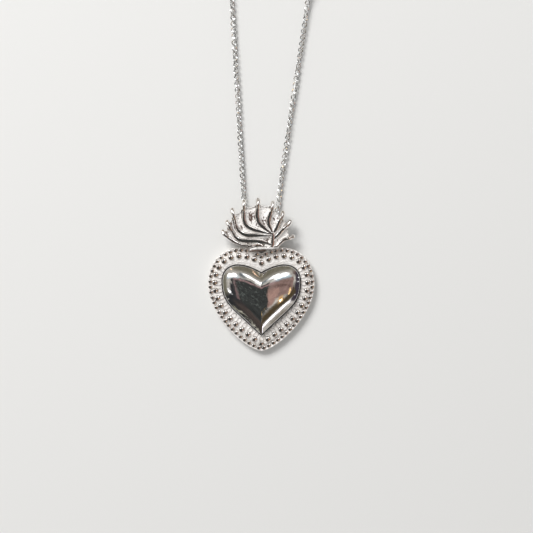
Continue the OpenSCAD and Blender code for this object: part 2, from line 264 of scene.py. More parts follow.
# Silver with grain, clouded polish, matt zones with dark pits and stains, and painted shade at the puffed
# heart's foot and under the crown's collar; the look's sizes are in millimetres
def finishTree(name, look):
    material = bpy.data.materials.new(name)
    material.use_nodes = True
    tree = material.node_tree
    shader = tree.nodes["Principled BSDF"]
    shader.inputs["Metallic"].default_value = look["metallic"]
    place = addNode(tree, "ShaderNodeTexCoord").outputs["Object"]

    def noise(size, detail, tall=1.0):
        node = addNode(tree, "ShaderNodeTexNoise")
        node.inputs["Scale"].default_value = 1 / (size * mm)
        node.inputs["Detail"].default_value = detail
        drawn = addNode(tree, "ShaderNodeVectorMath", operation="MULTIPLY")
        plug(tree, place, drawn.inputs[0])
        drawn.inputs[1].default_value = (1, 1 / tall, 1)
        plug(tree, drawn.outputs[0], node.inputs["Vector"])
        return node.outputs["Fac"]

    def painted(label):
        return addNode(tree, "ShaderNodeAttribute", attribute_name=label).outputs["Fac"]

    cloud = noise(look["cloudSize"], 3)
    rough = remap(tree, cloud, look["rough"] * (1 - look["cloud"]), look["rough"] * (1 + look["cloud"]),
                  0.3, 0.7)
    colour = blend(tree, remap(tree, cloud, 0.0, 1.0, 0.25, 0.75), look["shade"], look["colour"])
    grain = sums(tree, "MULTIPLY", noise(look["grainSize"], 3), look["grainHeight"] * mm)
    if "matt" in look:
        matt = look["matt"]
        level = sums(tree, "MULTIPLY_ADD", noise(0.25, 2), matt["ripple"], painted("polish"))
        half = matt["ripple"] / 2
        inMatt = remap(tree, level, 1.0, 0.0, 0.35 + half, 0.65 + half, smooth=True)
        # Dark pits, stains and the painted shade under the collar share one dark colour
        pitAndShadeLevel = sums(tree, "MULTIPLY_ADD", painted("stainAndShade"), matt["stainAndShade"], noise(matt["pitSize"], 2, 1.8))
        pitAndShadeMask = remap(tree, pitAndShadeLevel, 0.0, 1.0, 0.60, 0.68, smooth=True)
        rough = sums(tree, "MULTIPLY_ADD", inMatt, matt["rough"] - look["rough"], rough)
        colour = blend(tree, sums(tree, "MULTIPLY", inMatt, pitAndShadeMask), colour, matt["pitAndShade"])
        coarse = sums(tree, "MULTIPLY", noise(matt["size"], 2), matt["height"] * mm)
        grain = sums(tree, "MULTIPLY_ADD", inMatt, coarse, grain)
        plug(tree, remap(tree, inMatt, look["metallic"], matt["metallic"]), shader.inputs["Metallic"])
    # Painted shade: on the marked wall and shoulder the finish turns dark, rough and not metallic, standing
    # in for the shade at the puffed heart's foot
    if "footShade" in look:
        footShade = look["footShade"]
        inFootShade = remap(tree, painted("footShade"), 0.0, 1.0, 0.1, 0.9, smooth=True)
        colour = blend(tree, inFootShade, colour, footShade["colour"])
        rough = sums(tree, "MULTIPLY_ADD", inFootShade, footShade["rough"], rough)
        plug(tree, remap(tree, inFootShade, look["metallic"], 0.0), shader.inputs["Metallic"])
    plug(tree, colour, shader.inputs["Base Color"])
    plug(tree, rough, shader.inputs["Roughness"])
    bump = addNode(tree, "ShaderNodeBump")
    bump.inputs["Strength"].default_value = 1.0
    bump.inputs["Distance"].default_value = 1.0
    plug(tree, grain, bump.inputs["Height"])
    plug(tree, bump.outputs[0], shader.inputs["Normal"])
    return material


castLook = {"metallic": 0.15, "colour": (0.99, 0.97, 0.95), "shade": (0.91, 0.86, 0.81), "rough": 0.26,
            "cloud": 0.3, "cloudSize": 0.8, "grainSize": 0.3, "grainHeight": 0.2}
beadLook = {"metallic": 1.0, "colour": (0.96, 0.94, 0.92), "shade": (0.90, 0.85, 0.81), "rough": 0.08,
            "cloud": 0.4, "cloudSize": 1.0, "grainSize": 0.3, "grainHeight": 0.03}
petalLook = {"metallic": 0.55, "colour": (0.98, 0.96, 0.94), "shade": (0.90, 0.85, 0.81), "rough": 0.14,
             "cloud": 0.4, "cloudSize": 1.0, "grainSize": 0.3, "grainHeight": 0.06}
# The polish's dark foot colour is painted shade at the puffed heart's foot
polishLook = {"metallic": 1.0, "colour": (0.94, 0.94, 0.93), "shade": (0.92, 0.92, 0.91), "rough": 0.045,
              "cloud": 0.4, "cloudSize": 3.0, "grainSize": 0.9, "grainHeight": 0.02,
              "footShade": {"rough": 0.4, "colour": (0.06, 0.05, 0.04)}}
# The matt dark colour paints pits, stains and the shade under the collar
crownLook = {"metallic": 1.0, "colour": (0.97, 0.95, 0.93), "shade": (0.90, 0.86, 0.82), "rough": 0.08,
             "cloud": 0.4, "cloudSize": 1.1, "grainSize": 0.34, "grainHeight": 0.035,
             "matt": {"ripple": 0.4, "rough": 0.3, "metallic": 0.1, "size": 0.28, "height": 0.22,
                      "pitSize": 0.26, "pitAndShade": (0.13, 0.09, 0.075), "stainAndShade": 0.24}}
chainLook = {"metallic": 0.93, "colour": (0.98, 0.98, 0.97), "shade": (0.95, 0.95, 0.94), "rough": 0.08,
             "cloud": 0.3, "cloudSize": 2.0, "grainSize": 0.3, "grainHeight": 0.004}
# Painted shade for the groove round the puffed heart: a dark, rough finish standing in for the shade in it
grooveShadeLook = {"metallic": 0.3, "colour": (0.045, 0.038, 0.030), "shade": (0.03, 0.025, 0.02), "rough": 0.5,
            "cloud": 0.3, "cloudSize": 0.6, "grainSize": 0.2, "grainHeight": 0.01}

castSilver = finishTree("cast silver", castLook)
beadSilver = finishTree("bead silver", beadLook)
petalSilver = finishTree("petal silver", petalLook)
polishedSilver = finishTree("polished silver", polishLook)
crownSilver = finishTree("crown silver", crownLook)
chainSilver = finishTree("chain silver", chainLook)
grooveShade = finishTree("painted groove shade", grooveShadeLook)
print("finishes made")

# Heart outlines, as half hearts from the notch to the tip

heart = {
    "plateWide": 9.05, "plateNotch": 7.9, "plateTip": 8.65, "plateSide": 2.7,
    "plateShape": (36.4, 0.45, 0.665, 0.607, 0.27, 0),
    "domeWide": 6.6, "domeNotch": 4.55, "domeTip": 5.9, "domeSide": 3.3,
    "domeShape": (29.9, 0.872, 0.26, 0.608, 1.03, 44.6),
    "steps": 48,
}


def cubic(a, b, c, d, t):
    t = t[:, None]
    return (1 - t) ** 3 * a + 3 * t * (1 - t) ** 2 * b + 3 * t * t * (1 - t) * c + t ** 3 * d


def halfHeart(wide, notch, side, tip, shape):
    t = np.linspace(0, 1, heart["steps"] + 1)
    angle, notchOut, above, below, tipOut, tipAngle = shape
    top, edge, end = np.array([0, notch]), np.array([wide, side]), np.array([0, -tip])
    a, b = math.radians(angle), math.radians(tipAngle)
    upper = cubic(top, top + wide * notchOut * np.array([math.cos(a), math.sin(a)]),
                  edge + [0, wide * above], edge, t)
    lower = cubic(edge, edge - [0, wide * below],
                  end + wide * tipOut * np.array([math.cos(b), math.sin(b)]), end, t)
    return np.vstack([upper, lower[1:]])


plateHalf = halfHeart(heart["plateWide"], heart["plateNotch"], heart["plateSide"], heart["plateTip"],
                      heart["plateShape"])
domeHalf = halfHeart(heart["domeWide"], heart["domeNotch"], heart["domeSide"], heart["domeTip"],
                     heart["domeShape"])


def halfRow(share):
    return (1 - share) * plateHalf + share * domeHalf


def wholeHeart(half):
    return np.vstack([half, half[-2:0:-1] * [-1, 1]])


def grown(outline, by):
    along = np.roll(outline, -1, axis=0) - np.roll(outline, 1, axis=0)
    along /= np.linalg.norm(along, axis=1)[:, None]
    return outline + by * np.stack([-along[:, 1], along[:, 0]], axis=1)


# x, y and outward turn of what stands along a row, on both halves
def rowPlaces(share, count, last):
    row = halfRow(share)
    whole = lengthsOf(row)[-1]
    places = []
    for i in range(count + 1):
        s = min(i * whole / last, whole)
        p = pointsAt(row, [s])[0]
        ahead = pointsAt(row, [min(s + 0.05, whole)])[0] - pointsAt(row, [max(s - 0.05, 0)])[0]
        turn = math.atan2(ahead[1], ahead[0]) + math.pi / 2
        if i == 0 or s > whole - 0.01:
            places.append((0, p[1], math.pi / 2 if i == 0 else -math.pi / 2))
        else:
            places += [(p[0], p[1], turn), (-p[0], p[1], math.pi - turn)]
    return places


# Heart plate: two tiers with soft edges, a seat for the puffed heart, and its rows of beads

plate = {
    "thick": 1.0, "edge": 0.12, "rimWire": 0.24,
    "step": 0.2, "stepRow": 0.31, "stepEdge": 0.05, "seatDepth": 0.3, "seatGap": 0.15,
    "outerRow": 0.155, "outerBeads": 29, "outerBead": 0.8, "outerFlat": 0.58, "outerSink": 0.08,
    "innerRow": 0.47, "innerBeads": 18, "innerBead": 1.06, "innerFlat": 0.72,
    "petalRow": 0.72, "petalWide": 0.92, "petalLong": 1.25, "petalWire": 0.27, "petalSink": 0.03,
    "petalTop": 5.4, "vary": 0.015, "seed": 4, "footX": (-1.95, 0.95), "footY": 8.4,
}
plateTop = plate["thick"] + plate["step"]


def plateBody():
    edge = plate["edge"]
    rim, step, seat = (wholeHeart(h) for h in (plateHalf, halfRow(plate["stepRow"]), domeHalf))
    gap = plate["seatGap"]
    profile = [(rim, -edge, 0)]
    for a in (30, 60, 90):
        r = math.radians(a)
        profile.append((rim, -edge * (1 - math.sin(r)), edge * (1 - math.cos(r))))
    for a in (0, 30, 60, 90):
        r = math.radians(a)
        profile.append((rim, -edge * (1 - math.cos(r)), plate["thick"] - edge * (1 - math.sin(r))))
    small = plate["stepEdge"]
    profile += [(step, small, plate["thick"]), (step, 0.01, plate["thick"] + 0.03)]
    for a in (0, 45, 90):
        r = math.radians(a)
        profile.append((step, -small * (1 - math.cos(r)), plateTop - small * (1 - math.sin(r))))
    profile += [(seat, gap + 0.06, plateTop), (seat, gap + 0.015, plateTop - 0.02),
                (seat, gap, plateTop - 0.06), (seat, gap, plateTop - plate["seatDepth"])]
    points = np.vstack([np.column_stack([grown(line, by), np.full(len(line), z)])
                        for line, by, z in profile])
    n = len(rim)
    faces = ringFaces(len(profile), n) + endFaces(len(profile), n)
    # The seat's wall and floor take the painted groove shade
    body = paint(solidFrom("plateBody", points, faces), castSilver)
    body.data.materials.append(grooveShade)
    for face in body.data.polygons[(len(profile) - 3) * n:]:
        if face.center.z > plateTop - plate["seatDepth"] - 0.01:
            face.material_index = 1
    return body


# Low balls, or long loops where Wire is above 0, on the points of a mesh
def beadTree():
    tree = newTree("beads", [("Width", "Float", 1.0), ("Length", "Float", 1.0), ("Wire", "Float", 0.0),
                             ("Flatness", "Float", 1.0), ("Vary", "Float", 0.02), ("Seed", "Int", 1),
                             ("Material", "Material", None)])
    given = addNode(tree, "NodeGroupInput").outputs
    ball = addNode(tree, "GeometryNodeMeshUVSphere")
    ball.inputs["Segments"].default_value = 24
    ball.inputs["Rings"].default_value = 16
    plug(tree, sums(tree, "MULTIPLY", given["Width"], 0.5), ball.inputs["Radius"])
    radius = sums(tree, "MULTIPLY", sums(tree, "SUBTRACT", given["Width"], given["Wire"]), 0.5)
    either = addNode(tree, "GeometryNodeSwitch", input_type="GEOMETRY")
    plug(tree, sums(tree, "GREATER_THAN", given["Wire"], 0.0), either.inputs["Switch"])
    plug(tree, ball.outputs["Mesh"], either.inputs["False"])
    plug(tree, wireRing(tree, 32, radius, 12, given["Wire"]), either.inputs["True"])
    place = addNode(tree, "ShaderNodeSeparateXYZ")
    plug(tree, addNode(tree, "GeometryNodeInputPosition").outputs[0], place.inputs[0])
    reach = sums(tree, "MULTIPLY", sums(tree, "SUBTRACT", given["Length"], given["Width"]), 0.5)
    side = sums(tree, "SIGN", sums(tree, "ADD", place.outputs["X"], 0.0001))
    offset = addNode(tree, "ShaderNodeCombineXYZ")
    plug(tree, sums(tree, "MULTIPLY", side, reach), offset.inputs["X"])
    lower = sums(tree, "SUBTRACT", given["Flatness"], 1.0)
    plug(tree, sums(tree, "MULTIPLY", place.outputs["Z"], lower), offset.inputs["Z"])
    stretch = addNode(tree, "GeometryNodeSetPosition")
    plug(tree, either.outputs[0], stretch.inputs["Geometry"])
    plug(tree, offset.outputs[0], stretch.inputs["Offset"])
    turn = addNode(tree, "GeometryNodeInputNamedAttribute", data_type="FLOAT")
    turn.inputs["Name"].default_value = "turn"
    rotation = addNode(tree, "ShaderNodeCombineXYZ")
    plug(tree, turn.outputs["Attribute"], rotation.inputs["Z"])
    vary = addNode(tree, "FunctionNodeRandomValue", data_type="FLOAT")
    floats = [s for s in vary.inputs if s.type == "VALUE"]
    plug(tree, sums(tree, "SUBTRACT", 1.0, given["Vary"]), floats[0])
    plug(tree, sums(tree, "ADD", 1.0, given["Vary"]), floats[1])
    plug(tree, given["Seed"], vary.inputs["Seed"])
    size = next(s for s in vary.outputs if s.type == "VALUE")
    put = addNode(tree, "GeometryNodeInstanceOnPoints")
    plug(tree, given["Geometry"], put.inputs["Points"])
    plug(tree, stretch.outputs[0], put.inputs["Instance"])
    plug(tree, rotation.outputs[0], put.inputs["Rotation"])
    plug(tree, size, put.inputs["Scale"])
    endTree(tree, put.outputs[0], given["Material"], True)
    return tree


def pointCloud(name, places, z):
    mesh = bpy.data.meshes.new(name)
    mesh.from_pydata([(x, y, z) for x, y, turn in places], [], [])
    turns = mesh.attributes.new("turn", "FLOAT", "POINT")
    turns.data.foreach_set("value", [turn for x, y, turn in places])
    return addObject(name, mesh)


def clearOfFoot(place):
    dx = max(plate["footX"][0] - place[0], 0, place[0] - plate["footX"][1])
    dy = max(plate["footY"] - place[1], 0)
    return math.hypot(dx, dy) > plate["outerBead"] / 2


def makePlate():
    tree = beadTree()
    outer = [p for p in rowPlaces(plate["outerRow"], plate["outerBeads"], plate["outerBeads"] + 0.5)
             if clearOfFoot(p)]
    petals = [p for p in rowPlaces(plate["petalRow"], plate["innerBeads"], plate["innerBeads"])
              if p[1] < plate["petalTop"]]
    inner = rowPlaces(plate["innerRow"], plate["innerBeads"], plate["innerBeads"])
    rows = [
        ("outerBeads", outer, plate["thick"] + plate["outerSink"],
         (plate["outerBead"], plate["outerBead"], 0.0, plate["outerFlat"]), beadSilver),
        ("innerBeads", inner, plateTop,
         (plate["innerBead"], plate["innerBead"], 0.0, plate["innerFlat"]), beadSilver),
        ("petals", petals, plateTop - plate["petalSink"],
         (plate["petalWide"], plate["petalLong"], plate["petalWire"], 1.0), petalSilver),
    ]
    edge = plate["rimWire"] / 2
    rim = grown(wholeHeart(plateHalf), -edge - 0.01)
    rim = np.column_stack([rim, np.full(len(rim), plate["thick"])])
    pieces = [plateBody(), paint(sweep("rimWire", rim, edge, 12, loop=True), castSilver)]
    for name, places, z, (wide, long, wire, flat), silver in rows:
        obj = pointCloud(name, places, z)
        runTree(obj, tree, Width=wide, Length=long, Wire=wire, Flatness=flat, Vary=plate["vary"],
                Seed=plate["seed"], Material=silver)
        pieces.append(obj)
    return joinAll("heartPlate", pieces)


heartPlate = dress(makePlate(), "cast_silver", "heart_plate")
print("heart plate:", len(heartPlate.data.polygons), "faces")

# Puffed heart, mirror polished

dome = {
    "high": 2.7, "centre": (0, 0.7), "core": 4.6, "roundness": 1.3, "rings": 44,
    "steepest": 0.95, "easing": 8, "shoulder": 0.13, "shoulderFrom": 0.978,
}


# Rings from the seat to the crest; a short wall stands under a face that is never steeper than set
def makeDome():
    outline = wholeHeart(domeHalf)
    centre = np.array(dome["centre"], float)
    away = outline - centre
    unit = away / np.linalg.norm(away, axis=1)[:, None]
    side = np.roll(outline, -1, axis=0) - outline
    side /= np.linalg.norm(side, axis=1)[:, None]
    reach = np.abs(away[:, 1] * side[:, 0] - away[:, 0] * side[:, 1])
    steepest = dome["steepest"] * np.minimum(reach, np.roll(reach, 1))
    high, n = dome["high"], len(outline)
    fine = np.linspace(0, 0.9999, 800)
    sphere = high * fine / np.sqrt(1 - fine ** 2)
    eased = sphere[:, None] / (1 + (sphere[:, None] / steepest) ** dome["easing"]) ** (1 / dome["easing"])
    drops = np.vstack([np.zeros(n), np.cumsum((eased[1:] + eased[:-1]) / 2 * (fine[1] - fine[0]), axis=0)])
    points = [np.column_stack([outline, np.full(n, plateTop - plate["seatDepth"])])]
    footShade = [1.0]
    for t in np.cos(np.linspace(0, math.pi / 2, dome["rings"] + 1)[:-1]):
        share = (1 - t) ** dome["roundness"]
        ring = centre + t * ((1 - share) * away + share * dome["core"] * unit)
        drop = drops[min(799, round(t / fine[1]))]
        edge = max(0, t - dome["shoulderFrom"]) / (1 - dome["shoulderFrom"])
        points.append(np.column_stack([ring, plateTop + high - drop - dome["shoulder"] * edge ** 3]))
        footShade.append(edge)
    rings = len(points)
    points = np.vstack(points + [np.array([[centre[0], centre[1], plateTop + high]])])
    faces = ringFaces(rings, n) + [tuple(range(n))]
    last = (rings - 1) * n
    faces += [(last + i, last + (i + 1) % n, len(points) - 1) for i in range(n)]
    obj = solidFrom("puffedHeart", points, faces)
    # The values mark the wall and shoulder, rising to 1 at the foot, where the finish paints shade
    values = np.append(np.repeat(footShade, n), 0)
    obj.data.attributes.new("footShade", "FLOAT", "POINT").data.foreach_set("value", values)
    return obj


puffedHeart = dress(paint(makeDome(), polishedSilver), "polished_silver", "heart_dome")
print("puffed heart:", len(puffedHeart.data.polygons), "faces")

# Flame crown: ribs fan out from a spine, with a dished web between them, cast in one

crown = {
    "webLow": 1.64, "webThick": 0.5, "webDish": 0.12, "ribWide": 1.0, "ribHigh": 0.42, "crest": 3.2,
    "widthLine": ([0, 0.35, 0.75, 1], [0.7, 1, 0.95, 0.5]),
    "crestLine": ([0, 0.4, 0.78, 0.93, 1], [0.8, 1, 0.95, 0.3, -0.4]),
    "fingers": (0.95, 1.0, 1.0, 0.95, 1.0, 0.95, 1.05, 1.1, 0.8),
    "fingerAt": (1.9, 1.4, 1.0, 0.6, 0.2, -0.12, -0.34),
    "fingerHalf": (0.26, 0.37, 0.45, 0.5, 0.5, 0.4, 0.1),
    "fingerTop": (0.32, 0.42, 0.42, 0.29, 0.09, -0.15, -0.42), "fingerFlat": 0.8,
    "rimHigh": 0.24, "rimWide": 0.03, "collarHigh": 0.5, "across": 15, "rows": 90, "scallop": 0.03,
    "ridgeSides": 20, "polishHalf": ([0, 0.12, 0.3, 1], [0.1, 0.18, 0.36, 0.38]), "polishSoft": 0.16,
    "voxel": 0.0535, "smoothing": 4,
}
flames = [
    [(1.5, 8.9), (-2.0, 9.1), (-3.35, 9.25), (-4.6, 9.85), (-5.75, 10.7), (-6.3, 11.2), (-6.55, 11.75)],
    [(1.8, 9.3), (0.55, 9.75), (-0.5, 9.95), (-3.3, 10.15), (-4.3, 10.65), (-5.0, 11.75), (-5.6, 12.8),
     (-5.85, 13.35)],
    [(1.8, 10.85), (-0.4, 11.0), (-2.35, 11.05), (-3.35, 11.35), (-4.2, 12.3), (-4.5, 13.75),
     (-4.85, 14.8), (-5.0, 15.45)],
    [(1.83, 11.15), (0.15, 11.6), (-1.5, 12.1), (-2.55, 12.75), (-3.0, 13.75), (-2.95, 15.6),
     (-2.95, 16.85)],
    [(1.87, 11.3), (1.25, 11.65), (0.25, 12.5), (-0.5, 13.4), (-0.7, 14.6), (-0.55, 16.1), (-0.55, 17.1)],
    [(1.95, 11.38), (1.6, 12.15), (1.25, 13.1), (1.4, 14.25), (1.85, 15.5), (1.95, 16.6)],
    [(2.03, 11.3), (2.7, 12.35), (3.25, 13.65), (3.6, 14.4), (3.62, 14.95)],
    [(2.08, 10.25), (2.6, 10.8), (3.65, 11.9), (4.5, 12.7), (5.0, 13.4)],
    [(2.2, 8.95), (2.75, 9.2), (3.85, 10.15), (4.7, 10.45), (5.5, 10.8)],
]
bayReach = [0.95, 0.93, 0.88, 0.87, 0.87, 0.8, 0.79, 0.8]
spine = [(1.92, 11.45), (1.96, 10.6), (1.92, 9.7), (1.83, 8.97)]
leaf = [(-2.4, 8.95), (-1.75, 9.27), (-0.9, 9.45), (0.25, 9.36)]
collar = [(-1.75, 8.68), (-0.8, 8.78), (0.3, 8.8), (1.6, 8.82), (2.95, 8.9)]
underCollar = [(-2.0, 8.22), (-1.4, 8.36), (-0.5, 8.38), (0.7, 8.42)]
stains = [(-1.75, 14.1, 0.75, 1.0), (0.5, 13.3, 0.8, 0.6), (2.25, 13.3, 0.6, 0.5), (-3.4, 12.1, 0.7, 0.5),
          (0.8, 10.0, 0.6, 0.7), (-1.0, 13.0, 0.9, 0.3)]
ribLines = [smoothLine(f, 16) for f in flames]
webTop = crown["webLow"] + crown["webThick"]


def ribPoint(i, t):
    line = ribLines[i]
    return pointsAt(line, np.clip(t, 0, 1) * lengthsOf(line)[-1])


def crownRelief():
    columns = []
    out = np.linspace(0, 1, crown["rows"])
    for bay in range(len(flames) - 1):
        for k in range(crown["across"]):
            columns.append((bay, k / crown["across"]))
    columns.append((len(flames) - 2, 1.0))
    tops = []
    for bay, share in columns:
        reachLow = bayReach[bay]
        a, b = ribPoint(bay, out), ribPoint(bay + 1, out)
        apart = np.maximum(np.linalg.norm(b - a, axis=1), 0.001)
        width = np.interp(out, *crown["widthLine"]) * crown["ribWide"] / 2
        half = np.minimum(width, 0.42 * apart)
        q = min(share, 1 - share) * apart / half
        inWeb = np.clip((q - 1) / np.maximum(0.5 * apart / half - 1, 0.001), 0, 1)
        scallop = crown["scallop"] * math.sin(math.pi * share) ** 2
        reach = 1 - np.clip(q, 0, 1)[-1] ** 2 * (1 - reachLow) - scallop
        t = out * reach
        a, b = ribPoint(bay, t), ribPoint(bay + 1, t)
        crest = crown["ribHigh"] * np.interp(t, *crown["crestLine"])
        merge = np.minimum(1, apart / (1.2 * crown["ribWide"]))
        side = (1 - np.clip(q, 0, 1) ** crown["crest"]) ** (1 / crown["crest"])
        dish = crown["webDish"] * (1 - (1 - inWeb) ** 2)
        rim = crown["rimHigh"] * np.exp(-((1 - out) / crown["rimWide"]) ** 2) * (1 - side)
        z = webTop + crest - merge * (crest * (1 - side) + dish) + rim
        p = (1 - share) * a + share * b
        tops.append(np.column_stack([p, z]))
    rows, n = crown["rows"], len(columns)
    top = np.vstack(tops)
    low = top.copy()
    low[:, 2] = crown["webLow"]
    faces = []
    for c in range(n - 1):
        for r in range(rows - 1):
            i = c * rows + r
            quad = (i, i + rows, i + rows + 1, i + 1)
            faces += [quad, tuple(j + n * rows for j in reversed(quad))]
    rim = ([c * rows for c in range(n)] + [(n - 1) * rows + r for r in range(1, rows)]
           + [c * rows + rows - 1 for c in range(n - 2, -1, -1)] + list(range(rows - 2, 0, -1)))
    for i, j in zip(rim, rim[1:] + rim[:1]):
        faces.append((i, j, j + n * rows, i + n * rows))
    return solidFrom("relief", np.vstack([top, low]), faces)


# A low bar with its own width and height along it, half sunk in the web
def ridge(name, line, widths, heights):
    line = smoothLine(line, 12)
    share = np.linspace(0, 1, len(line))
    wide = np.interp(share, *zip(*widths))
    high = np.interp(share, *zip(*heights))
    along = np.gradient(line, axis=0)
    along /= np.linalg.norm(along, axis=1)[:, None]
    sides = crown["ridgeSides"]
    turn = 2 * math.pi * np.arange(sides) / sides
    across = wide[:, None] * np.cos(turn)
    up = high[:, None] * np.sign(np.sin(turn)) * np.abs(np.sin(turn)) ** 0.6
    points = np.stack([line[:, None, 0] - along[:, None, 1] * across,
                       line[:, None, 1] + along[:, None, 0] * across, webTop + up], axis=2)
    return solidFrom(name, points.reshape(-1, 3), ringFaces(len(line), sides) + endFaces(len(line), sides))


def placed(name, bm, size, middle):
    bmesh.ops.scale(bm, vec=size, verts=bm.verts)
    bmesh.ops.translate(bm, vec=middle, verts=bm.verts)
    mesh = bpy.data.meshes.new(name)
    bm.to_mesh(mesh)
    bm.free()
    return addObject(name, mesh)


def block(name, low, high):
    bm = bmesh.new()
    bmesh.ops.create_cube(bm, size=1)
    return placed(name, bm, [b - a for a, b in zip(low, high)], [(a + b) / 2 for a, b in zip(low, high)])


# Between the crown's back and the tube
def solder():
    bm = bmesh.new()
    bmesh.ops.create_icosphere(bm, subdivisions=4, radius=1)
    return placed("solder", bm, (0.95, 0.62, 0.2), (0, 14.1, crown["webLow"] + 0.02))


# Rounded end of a rib, falling away towards its tip
def finger(i):
    size = crown["fingers"][i]
    back = lengthsOf(ribLines[i])[-1] - size * np.array(crown["fingerAt"])
    half = size * np.array(crown["fingerHalf"])
    high = webTop + np.array(crown["fingerTop"]) - crown["fingerFlat"] * half
    line = smoothLine(np.column_stack([pointsAt(ribLines[i], back), high, half]), 6)
    return sweep("finger%d" % i, line[:, :3], np.maximum(line[:, 3], 0.05), 20, crown["fingerFlat"])


# Notes on each point of the crown how polished it is and how stained, with painted shade under the collar
# counted in with the stains
def markFinish(obj):
    marks = []
    for i, line in enumerate(ribLines):
        whole = lengthsOf(line)[-1]
        ends = whole - crown["fingers"][i] * np.array(crown["fingerAt"])[::-1]
        for at in np.arange(0, whole, 0.06):
            near = np.interp(at / whole, *crown["polishHalf"])
            tip = 1.2 * np.interp(at, ends[::-1], crown["fingerHalf"]) if at > ends[-1] else 0
            marks.append((*pointsAt(line, [at])[0], max(near, tip)))
    for line, half in ((spine, 0.32), (leaf, 0.34), (underCollar, -0.3), (collar, -0.3)):
        marks += [(*p, half) for p in smoothLine(line, 16)]
    marks = np.array(marks)
    finder = KDTree(len(marks))
    for k, (x, y, half) in enumerate(marks):
        finder.insert((x, y, 0), k)
    finder.balance()
    points = np.array([v.co for v in obj.data.vertices])
    polish = np.zeros(len(points))
    for k, (x, y) in enumerate(points[:, :2]):
        nearest, apart = finder.find((x, y, 0))[1:]
        polish[k] = 0.5 + (marks[nearest, 2] - apart) / crown["polishSoft"]
    polish = np.clip(polish, 0, 1) * np.clip((points[:, 2] - crown["webLow"] - 0.11) / 0.15, 0, 1)
    stainAndShade = np.zeros(len(points))
    for x, y, size, strength in stains:
        apart = np.hypot(points[:, 0] - x, 0.7 * (points[:, 1] - y)) / size
        stainAndShade = np.maximum(stainAndShade, strength * np.clip(1.6 - 1.6 * apart, 0, 1))
    # Painted shade: the ridge under the collar is darkened where the collar's shadow falls
    for x, y in smoothLine(underCollar, 8):
        apart = np.hypot(points[:, 0] - x, points[:, 1] - y)
        onTop = points[:, 2] > webTop - 0.14
        stainAndShade = np.maximum(stainAndShade, 2 * np.clip((0.2 - apart) / 0.1, 0, 1) * onTop)
    for label, values in (("polish", polish), ("stainAndShade", stainAndShade)):
        obj.data.attributes.new(label, "FLOAT", "POINT").data.foreach_set("value", values)
    return obj


def makeCrown():
    high, rib = crown["collarHigh"], crown["ribHigh"]
    pieces = [
        crownRelief(),
        ridge("spine", spine, [(0, 0.36), (1, 0.44)], [(0, rib), (1, rib)]),
        ridge("leaf", leaf, [(0, 0.1), (0.35, 0.36), (0.7, 0.3), (1, 0.1)],
              [(0, 0.2), (0.4, high + 0.2), (1, 0.3)]),
        ridge("collar", collar, [(0, 0.1), (0.2, 0.26), (0.8, 0.24), (1, 0.1)],
              [(0, 0.3), (0.25, high), (0.8, high * 0.8), (1, 0.2)]),
        ridge("underCollar", underCollar, [(0, 0.1), (0.3, 0.2), (1, 0.1)],
              [(0, 0.15), (0.3, 0.3), (1, 0.2)]),
        ridge("lowLeftRib", flames[0][2:], [(0, 0.12), (0.3, 0.26), (0.7, 0.34), (1, 0.3)],
              [(0, rib), (0.75, rib), (1, 0.1)]),
        ridge("lowRightRib", flames[-1], [(0, 0.2), (0.3, 0.26), (1, 0.3)],
              [(0, rib), (0.6, rib), (1, 0.1)]),
        block("foot", (plate["footX"][0], plate["footY"], 0.15), (plate["footX"][1], 9.5, webTop)),
        solder(),
    ]
    pieces += [finger(i) for i in range(len(flames))]
    obj = joinAll("flameCrown", pieces)
    melt = obj.modifiers.new("melt", "REMESH")
    melt.mode = "VOXEL"
    melt.voxel_size = crown["voxel"]
    soften = obj.modifiers.new("soften", "SMOOTH")
    soften.factor = 0.5
    soften.iterations = crown["smoothing"]
    bakeModifiers(obj)
    obj.data.shade_smooth()
    return markFinish(obj)


flameCrown = dress(paint(makeCrown(), crownSilver), "crown_silver", "flame_crown")
print("flame crown:", len(flameCrown.data.polygons), "faces")

# Bail tube behind the crown

bail = {"long": 2.0, "wide": 1.7, "bore": 1.3, "y": 14.1, "z": 0.91, "edge": 0.07, "sides": 64}


def makeBail():
    half, outer, inner, edge = bail["long"] / 2, bail["wide"] / 2, bail["bore"] / 2, bail["edge"]
    profile = []
    for a in np.linspace(0, math.pi / 2, 5):
        profile.append((half - edge * (1 - math.cos(a)), outer - edge * (1 - math.sin(a))))
    profile += [(-x, r) for x, r in reversed(profile)]
    bore = []
    for a in np.linspace(0, math.pi / 2, 5):
        bore.append((half - edge * (1 - math.sin(a)), inner + edge * (1 - math.cos(a))))
    profile += [(-x, r) for x, r in reversed(bore)] + bore
    sides = bail["sides"]
    turn = 2 * math.pi * np.arange(sides) / sides
    points = np.vstack([np.column_stack([np.full(sides, x), bail["y"] + r * np.cos(turn),
                                         bail["z"] + r * np.sin(turn)]) for x, r in profile])
    return solidFrom("bailTube", points, ringFaces(len(profile), sides, loop=True))


bailTube = dress(paint(makeBail(), chainSilver), "polished_silver", "bail_tube")
print("bail tube made")

# Chain: the route from the tube up the left, round the stored coil, through the clasp and back

